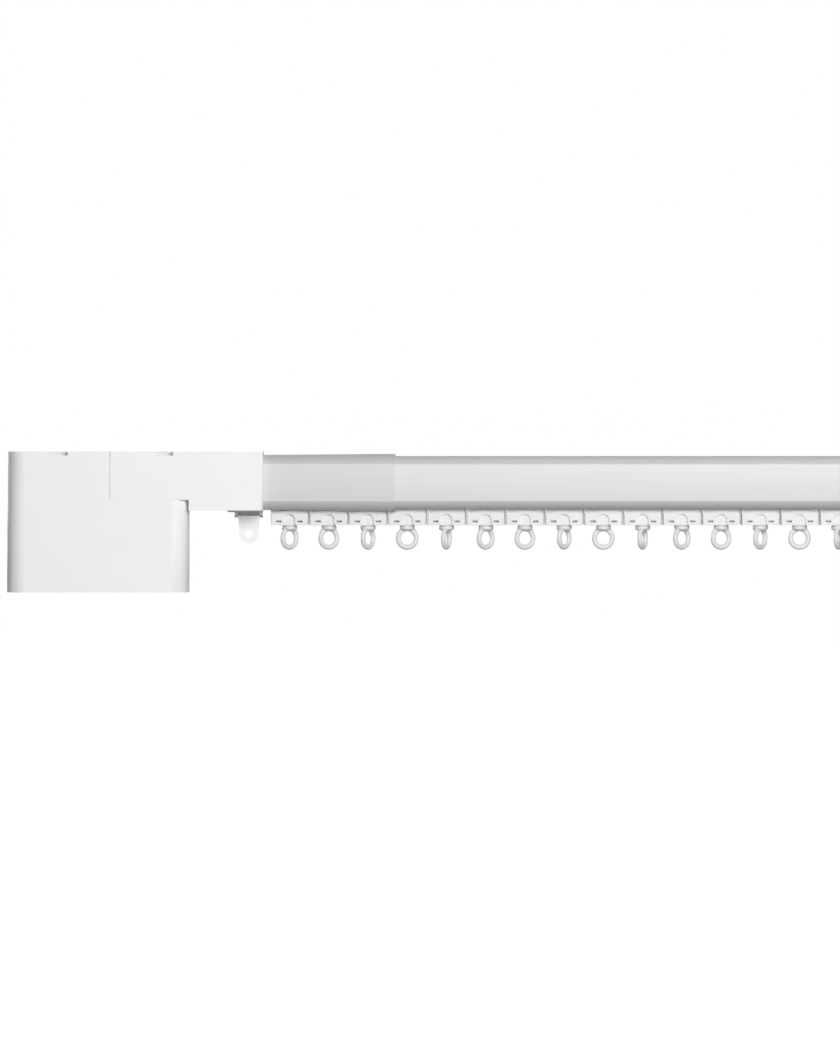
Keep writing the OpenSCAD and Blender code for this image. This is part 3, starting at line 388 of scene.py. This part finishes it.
def light_pipe():
    # Clear polycarbonate rod: a pale, frosted end that passes the light of a small lamp on the board.
    return moulded("clear_polycarbonate", linear("#DCE8EA"), roughness=0.25, grain=0.8 * MM,
                   depth=0.01 * MM, IOR=1.58, Transmission_Weight=0.5)


# Shapes

# Points closer than this are one. Faces flatter than the first angle are joined, edges sharper than the
# second are rounded, and a screw's edges sharper than the third shade crisply.
SAME_POINT = 0.002 * MM
FLAT_WITHIN = math.radians(0.6)
CRISP_FROM = math.radians(40)
SCREW_CREASE = math.radians(35)


def dress(node, material, edge=0.0):
    """Gives a solid its finish and, where edge is set, rounds its crisp edges."""
    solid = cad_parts[node]
    solid.data.materials.clear()
    solid.data.materials.append(material)
    if not edge:
        return
    weld = solid.modifiers.new("weld", "WELD")
    weld.merge_threshold = SAME_POINT
    flat = solid.modifiers.new("flat_faces", "DECIMATE")
    flat.decimate_type = "DISSOLVE"
    flat.angle_limit = FLAT_WITHIN
    bevel = solid.modifiers.new("edge", "BEVEL")
    bevel.width = edge
    bevel.segments = 2
    bevel.limit_method = "ANGLE"
    bevel.angle_limit = CRISP_FROM
    bevel.harden_normals = True


def seam_lip(name, sizes):
    """An L-shaped lip that follows the seam down and along, once behind each face of the cases."""
    head_low, head_high = box_of(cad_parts["gear_head_case"].data.vertices)
    motor_high = box_of(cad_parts["motor_housing"].data.vertices)[1]
    play, depth = 0.01 * MM, 1.2 * MM
    right = head_low.x - play
    left = right + 2 * play - sizes.seam_width
    end = motor_high.x - sizes.corner_radius
    upper = head_high.z - sizes.seat_height - play
    lower = upper + 2 * play - sizes.seam_width
    top = head_high.z - sizes.lip_recess
    face = head_high.y - sizes.lip_recess
    outline = [(left, top), (right, top), (right, upper), (end, upper), (end, lower), (left, lower)]
    mesh = bmesh.new()
    for near, far in ((-face, depth - face), (face - depth, face)):
        closed_prism(mesh, *([(x, y, z) for x, z in outline] for y in (near, far)))
    return new_piece(name, mesh)


def closed_prism(mesh, near, far):
    """Adds a closed prism between two rings of points."""
    rings = [[mesh.verts.new(point) for point in ring] for ring in (near, far)]
    for ring in rings:
        mesh.faces.new(ring)
    for i in range(len(near)):
        j = (i + 1) % len(near)
        mesh.faces.new((rings[0][i], rings[0][j], rings[1][j], rings[1][i]))


def new_piece(name, mesh, place=Matrix()):
    """A new object from a mesh whose faces are turned outward, set in its place."""
    bmesh.ops.recalc_face_normals(mesh, faces=mesh.faces)
    data = bpy.data.meshes.new(name)
    mesh.to_mesh(data)
    mesh.free()
    data.transform(place)
    piece = bpy.data.objects.new(name, data)
    bpy.context.scene.collection.objects.link(piece)
    return piece


def screws_of(node):
    """Each screw of a node: its head's centre, its point's direction, its length and its head's radius."""
    mesh = bmesh.new()
    mesh.from_mesh(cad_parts[node].data)
    bmesh.ops.remove_doubles(mesh, verts=mesh.verts, dist=SAME_POINT)
    left = set(mesh.verts)
    found = []
    while left:
        group, edge = set(), [left.pop()]
        while edge:
            vert = edge.pop()
            group.add(vert)
            near = {e.other_vert(vert) for e in vert.link_edges} & left
            left -= near
            edge += near
        low, high = box_of(group)
        middle = (low + high) / 2
        head = max(group, key=lambda v: (v.co.xy - middle.xy).length)
        up = 1 if head.co.z < middle.z else -1
        centre = Vector((middle.x, middle.y, low.z if up > 0 else high.z))
        found.append((centre, up, high.z - low.z, (head.co.xy - middle.xy).length))
    mesh.free()
    return sorted(found, key=lambda s: tuple(s[0]))


def turned_screw(name, centre, up, length, head_radius, sizes):
    """A countersunk screw with a driver cross sunk into its head, its point along +Z or -Z."""
    shank = 0.54 * head_radius
    root, tip = 0.86 * shank, 0.7 * shank
    flat, shoulder, cone = 0.88 * head_radius, 0.985 * head_radius, 0.57 * head_radius
    shoulder_drop, rim_drop = 0.06 * MM, 0.18 * MM
    thread_start, thread_length, point_start = 0.24 * length, 0.66 * length, 0.94 * length
    turns, flank = 16, 0.015 * length
    profile = [(0.0, 0.0), (flat, 0.0), (shoulder, shoulder_drop), (head_radius, rim_drop),
               (shank, cone), (shank, thread_start)]
    for i in range(turns):
        z = thread_start + (i + 0.5) * thread_length / turns
        profile += [(root, z - flank), (shank, z), (root, z + flank)]
    profile += [(tip, point_start), (0.0, length)]
    mesh = bmesh.new()
    rings = []
    step = 2 * math.pi / sizes.screw_sides
    for radius, z in profile:
        if radius == 0:
            rings.append([mesh.verts.new((0, 0, z))])
            continue
        rings.append([mesh.verts.new((radius * math.cos(i * step), radius * math.sin(i * step), z))
                      for i in range(sizes.screw_sides)])
    for low, high in zip(rings, rings[1:]):
        for i in range(sizes.screw_sides):
            corners = [low[i % len(low)], low[(i + 1) % len(low)],
                       high[(i + 1) % len(high)], high[i % len(high)]]
            mesh.faces.new(list(dict.fromkeys(corners)))
    place = Matrix.Translation(centre) @ Matrix.Diagonal((1, up, up, 1))
    screw = new_piece(name, mesh, place)
    cut_cross(screw, place, head_radius, sizes)
    for polygon in screw.data.polygons:
        polygon.use_smooth = True
    screw.modifiers.new("shading", "EDGE_SPLIT").split_angle = SCREW_CREASE
    return screw


def turned(points, cosine, sine):
    """Points of a plane, turned about its origin."""
    return [(x * cosine - y * sine, x * sine + y * cosine) for x, y in points]


def cut_cross(screw, place, head_radius, sizes):
    """Sinks a driver cross into a screw's head by a boolean, and keeps the cut mesh."""
    reach, half = 0.58 * head_radius, sizes.cross_width / 2
    mesh = bmesh.new()
    quarter = [(reach, half), (half, half), (half, reach)]
    outline = [point for turn in ((1, 0), (0, 1), (-1, 0), (0, -1)) for point in turned(quarter, *turn)]
    above_head = 0.3 * MM
    depths = (-above_head, sizes.cross_depth)
    tapers = (1.0, 0.55)
    closed_prism(mesh, *([(x * t, y * t, z) for x, y in outline] for z, t in zip(depths, tapers)))
    tool = new_piece("cross_tool", mesh, place)
    cut = screw.modifiers.new("cross", "BOOLEAN")
    cut.object = tool
    cut.solver = "EXACT"
    shown = screw.evaluated_get(bpy.context.evaluated_depsgraph_get())
    result = bpy.data.meshes.new_from_object(shown)
    screw.modifiers.clear()
    screw.data = result
    bpy.data.objects.remove(tool)


# Operators

RUNNERS = sorted(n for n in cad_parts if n.startswith("runner_"))
EYELETS = sorted(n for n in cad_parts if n.startswith("eyelet_"))


class DressMotorUnit(bpy.types.Operator):
    """Finish the motor housing, its base and what they hold"""

    bl_idname = "curtain_track.dress_motor_unit"
    bl_label = "Motor unit"

    def execute(self, context):
        finish, sizes = context.scene.curtain_finish, context.scene.curtain_sizes
        # The cases' material has a painted shade on the walls of the clip pockets.
        case = case_with_painted_pocket_shade(finish, sizes)
        for node in ("motor_housing", "motor_base", "gear_head_case", "tail_case", "tail_cover"):
            dress(node, case, sizes.case_edge)
        dress("setting_button", grey_moulding(), sizes.runner_edge)
        dress("status_light", light_pipe())
        black = dark_moulding()
        dress("power_socket", black, sizes.metal_edge)
        dress("power_module", black, sizes.metal_edge)
        dress("circuit_board", board_laminate(sizes.board_height, sizes.board_thickness))
        return {"FINISHED"}


class DressDrive(bpy.types.Operator):
    """Finish the gear motor, shaft, bearings, pulleys and belt"""

    bl_idname = "curtain_track.dress_drive"
    bl_label = "Belt drive"

    def execute(self, context):
        steel = plated_steel()
        for node in ("gear_motor", "drive_shaft", "drive_bearings", "tail_axle"):
            dress(node, steel)
        dress("gear_head_base", grey_moulding())
        ivory = pulley_acetal()
        for node in ("drive_pulley", "tail_pulley"):
            dress(node, ivory)
        dress("drive_belt", belt_rubber())
        return {"FINISHED"}


class DressRail(bpy.types.Operator):
    """Finish the rail and the sleeve over its motor end"""

    bl_idname = "curtain_track.dress_rail"
    bl_label = "Rail and sleeve"

    def execute(self, context):
        finish, sizes = context.scene.curtain_finish, context.scene.curtain_sizes
        dress("rail", coated_rail("coated_rail", finish.rail, "rail", sizes.rail_swell))
        dress("rail_sleeve", coated_rail("coated_sleeve", finish.sleeve, "rail_sleeve", sizes.rail_swell))
        return {"FINISHED"}


class DressRunners(bpy.types.Operator):
    """Finish the stack of runners and their eyelets"""

    bl_idname = "curtain_track.dress_runners"
    bl_label = "Runners and eyelets"

    def execute(self, context):
        finish, sizes = context.scene.curtain_finish, context.scene.curtain_sizes
        white = acetal(finish)
        for node in RUNNERS:
            dress(node, white, sizes.runner_edge)
        for node in EYELETS:
            dress(node, white)
        return {"FINISHED"}


class DressCarriage(bpy.types.Operator):
    """Finish the lead carriage, its wheels, arm and belt clamp"""

    bl_idname = "curtain_track.dress_carriage"
    bl_label = "Lead carriage"

    def execute(self, context):
        finish, sizes = context.scene.curtain_finish, context.scene.curtain_sizes
        white = acetal(finish)
        for node in ("carriage_body", "carriage_arm"):
            dress(node, white, sizes.runner_edge)
        grey = grey_moulding()
        for node in ("carriage_axle_near", "carriage_axle_far", "belt_clamp"):
            dress(node, grey, sizes.metal_edge)
        return {"FINISHED"}


class DressEndHook(bpy.types.Operator):
    """Finish the end hook's bracket, pin and tab"""

    bl_idname = "curtain_track.dress_end_hook"
    bl_label = "End hook"

    def execute(self, context):
        finish, sizes = context.scene.curtain_finish, context.scene.curtain_sizes
        steel = blackened_steel(finish)
        dress("hook_bracket", steel, sizes.metal_edge)
        dress("hook_pin", steel)
        dress("hook_tab", abs_case(finish), sizes.runner_edge)
        return {"FINISHED"}


class FitSeamLip(bpy.types.Operator):
    """Set a thin lip in the seam between the motor housing and the gear head, in front and behind"""

    bl_idname = "curtain_track.fit_seam_lip"
    bl_label = "Seam lip"

    def execute(self, context):
        finish, sizes = context.scene.curtain_finish, context.scene.curtain_sizes
        lip = seam_lip("seam_lip", sizes)
        lip.data.materials.append(abs_case(finish))
        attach(lip, "track")
        return {"FINISHED"}


class FitScrews(bpy.types.Operator):
    """Replace the plain screws by turned ones with driver crosses"""

    bl_idname = "curtain_track.fit_screws"
    bl_label = "Screws"

    def execute(self, context):
        sizes = context.scene.curtain_sizes
        steel = plated_steel()
        groups = (("case_screws", "track", "case_screw"), ("clamp_screws", "carriage", "clamp_screw"))
        for node, body, name in groups:
            for number, (centre, up, length, radius) in enumerate(screws_of(node), 1):
                screw = turned_screw(f"{name}_{number:02d}", centre, up, length, radius, sizes)
                screw.data.materials.append(steel)
                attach(screw, body)
                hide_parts(node)
        return {"FINISHED"}


class SetStage(bpy.types.Operator):
    """Make the camera, the lights, the world and the floor"""

    bl_idname = "curtain_track.set_stage"
    bl_label = "Studio"

    def execute(self, context):
        stage = context.scene.curtain_stage
        context.scene.view_settings.view_transform = "Standard"
        self.make_camera(context, stage)
        self.make_lights(context, stage)
        self.make_world(context, stage)
        self.make_floor(context, stage)
        return {"FINISHED"}

    def make_camera(self, context, stage):
        data = bpy.data.cameras.new("camera")
        data.lens = stage.lens
        distance = stage.view_height * data.lens / data.sensor_width
        camera = bpy.data.objects.new("camera", data)
        camera.location = Vector(stage.view_centre) + Vector((0, -distance, 0))
        camera.rotation_euler = (math.radians(90), 0, 0)
        context.scene.collection.objects.link(camera)
        context.scene.camera = camera

    def make_lights(self, context, stage):
        centre = Vector(stage.view_centre)
        lights = (("key", stage.key_watts, stage.key_aim), ("back", stage.back_watts, stage.back_aim))
        for name, watts, (turn, rise) in lights:
            level = math.cos(rise)
            aim = Vector((math.sin(turn) * level, -math.cos(turn) * level, math.sin(rise)))
            data = bpy.data.lights.new(name, "AREA")
            data.shape = "RECTANGLE"
            data.size, data.size_y = stage.light_size
            data.energy = watts
            light = bpy.data.objects.new(name, data)
            light.location = centre + stage.light_distance * aim
            light.rotation_euler = aim.to_track_quat("Z", "Y").to_euler()
            context.scene.collection.objects.link(light)

    def make_world(self, context, stage):
        world = bpy.data.worlds.new("studio")
        world.use_nodes = True
        tree = world.node_tree
        tree.nodes.clear()
        strength = add(tree, "ShaderNodeMapRange", {"Value": seen_ray(tree)},
                       {"To Min": stage.fill, "To Max": 1.0}).outputs["Result"]
        light = add(tree, "ShaderNodeBackground", {"Strength": strength}, {"Color": (1, 1, 1, 1)})
        add(tree, "ShaderNodeOutputWorld", {"Surface": light.outputs["Background"]})
        context.scene.world = world

    def make_floor(self, context, stage):
        half = 30.0
        height = CAD_BOX[0].z - stage.floor_drop
        corners = [(x * half, y * half, height) for x, y in ((-1, -1), (1, -1), (1, 1), (-1, 1))]
        data = bpy.data.meshes.new("floor")
        data.from_pydata(corners, [], [(0, 1, 2, 3)])
        floor = bpy.data.objects.new("floor", data)
        context.scene.collection.objects.link(floor)
        data.materials.append(self.floor_paper())

    def floor_paper(self):
        # Matte paper, grey in the light that it throws back. To the eye it glows white: under the track it
        # takes a soft shadow, further off it fades into the background, and from below it is clear.
        fade_from, fade_to, glow_under, glow_away = 1.0, 2.4, 0.86, 1.0
        material = bpy.data.materials.new("floor_paper")
        material.use_nodes = True
        tree = material.node_tree
        tree.nodes.clear()
        place = add(tree, "ShaderNodeTexCoord").outputs["Object"]
        away = add(tree, "ShaderNodeVectorMath", {0: place}, operation="LENGTH").outputs["Value"]
        white = add(tree, "ShaderNodeMapRange", {"Value": away},
                    {"From Min": fade_from, "From Max": fade_to, "To Min": glow_under, "To Max": glow_away})
        shown = add(tree, "ShaderNodeMath", {0: white.outputs["Result"], 1: seen_ray(tree)},
                    operation="MULTIPLY").outputs[0]
        paper = add(tree, "ShaderNodeBsdfDiffuse", None, {"Color": (*linear("#909090"), 1)})
        glow = add(tree, "ShaderNodeEmission", {"Strength": shown})
        lit = add(tree, "ShaderNodeAddShader", {0: paper.outputs["BSDF"], 1: glow.outputs["Emission"]})
        clear = add(tree, "ShaderNodeBsdfTransparent")
        under = add(tree, "ShaderNodeNewGeometry").outputs["Backfacing"]
        both = add(tree, "ShaderNodeMixShader",
                   {0: under, 1: lit.outputs["Shader"], 2: clear.outputs["BSDF"]})
        add(tree, "ShaderNodeOutputMaterial", {"Surface": both.outputs["Shader"]})
        return material


def seen_ray(tree):
    """1 for rays that show the background: camera rays, reflections and what is seen through glass."""
    path = add(tree, "ShaderNodeLightPath")
    either = add(tree, "ShaderNodeMath",
                 {0: path.outputs["Is Camera Ray"], 1: path.outputs["Is Glossy Ray"]},
                 operation="MAXIMUM").outputs[0]
    return add(tree, "ShaderNodeMath", {0: either, 1: path.outputs["Is Transmission Ray"]},
               operation="MAXIMUM").outputs[0]


# Panel

OPERATORS = (DressMotorUnit, DressDrive, DressRail, DressRunners, DressCarriage, DressEndHook, FitSeamLip,
             FitScrews, SetStage)


class CurtainTrackPanel(bpy.types.Panel):
    """The track's sizes, colours and steps"""

    bl_idname = "VIEW3D_PT_curtain_track"
    bl_label = "Curtain Track"
    bl_space_type = "VIEW_3D"
    bl_region_type = "UI"
    bl_category = "Curtain Track"

    def draw(self, context):
        scene = context.scene
        for title, group in (("Finishes", scene.curtain_finish), ("Details", scene.curtain_sizes),
                             ("Studio", scene.curtain_stage)):
            box = self.layout.box()
            box.label(text=title)
            for name in group.bl_rna.properties.keys():
                if name not in ("rna_type", "name"):
                    box.prop(group, name)
        for step in OPERATORS:
            self.layout.operator(step.bl_idname)


CLASSES = (FinishProperties, SizeProperties, StageProperties, *OPERATORS, CurtainTrackPanel)


def register():
    for cls in CLASSES:
        bpy.utils.register_class(cls)
    bpy.types.Scene.curtain_finish = PointerProperty(type=FinishProperties)
    bpy.types.Scene.curtain_sizes = PointerProperty(type=SizeProperties)
    bpy.types.Scene.curtain_stage = PointerProperty(type=StageProperties)


def unregister():
    del bpy.types.Scene.curtain_stage
    del bpy.types.Scene.curtain_sizes
    del bpy.types.Scene.curtain_finish
    for cls in reversed(CLASSES):
        bpy.utils.unregister_class(cls)


def main():
    register()
    bpy.ops.curtain_track.set_stage()
    bpy.ops.curtain_track.dress_motor_unit()
    bpy.ops.curtain_track.dress_drive()
    bpy.ops.curtain_track.dress_rail()
    bpy.ops.curtain_track.dress_runners()
    bpy.ops.curtain_track.dress_carriage()
    bpy.ops.curtain_track.dress_end_hook()
    bpy.ops.curtain_track.fit_seam_lip()
    bpy.ops.curtain_track.fit_screws()


if __name__ == "__main__":
    main()
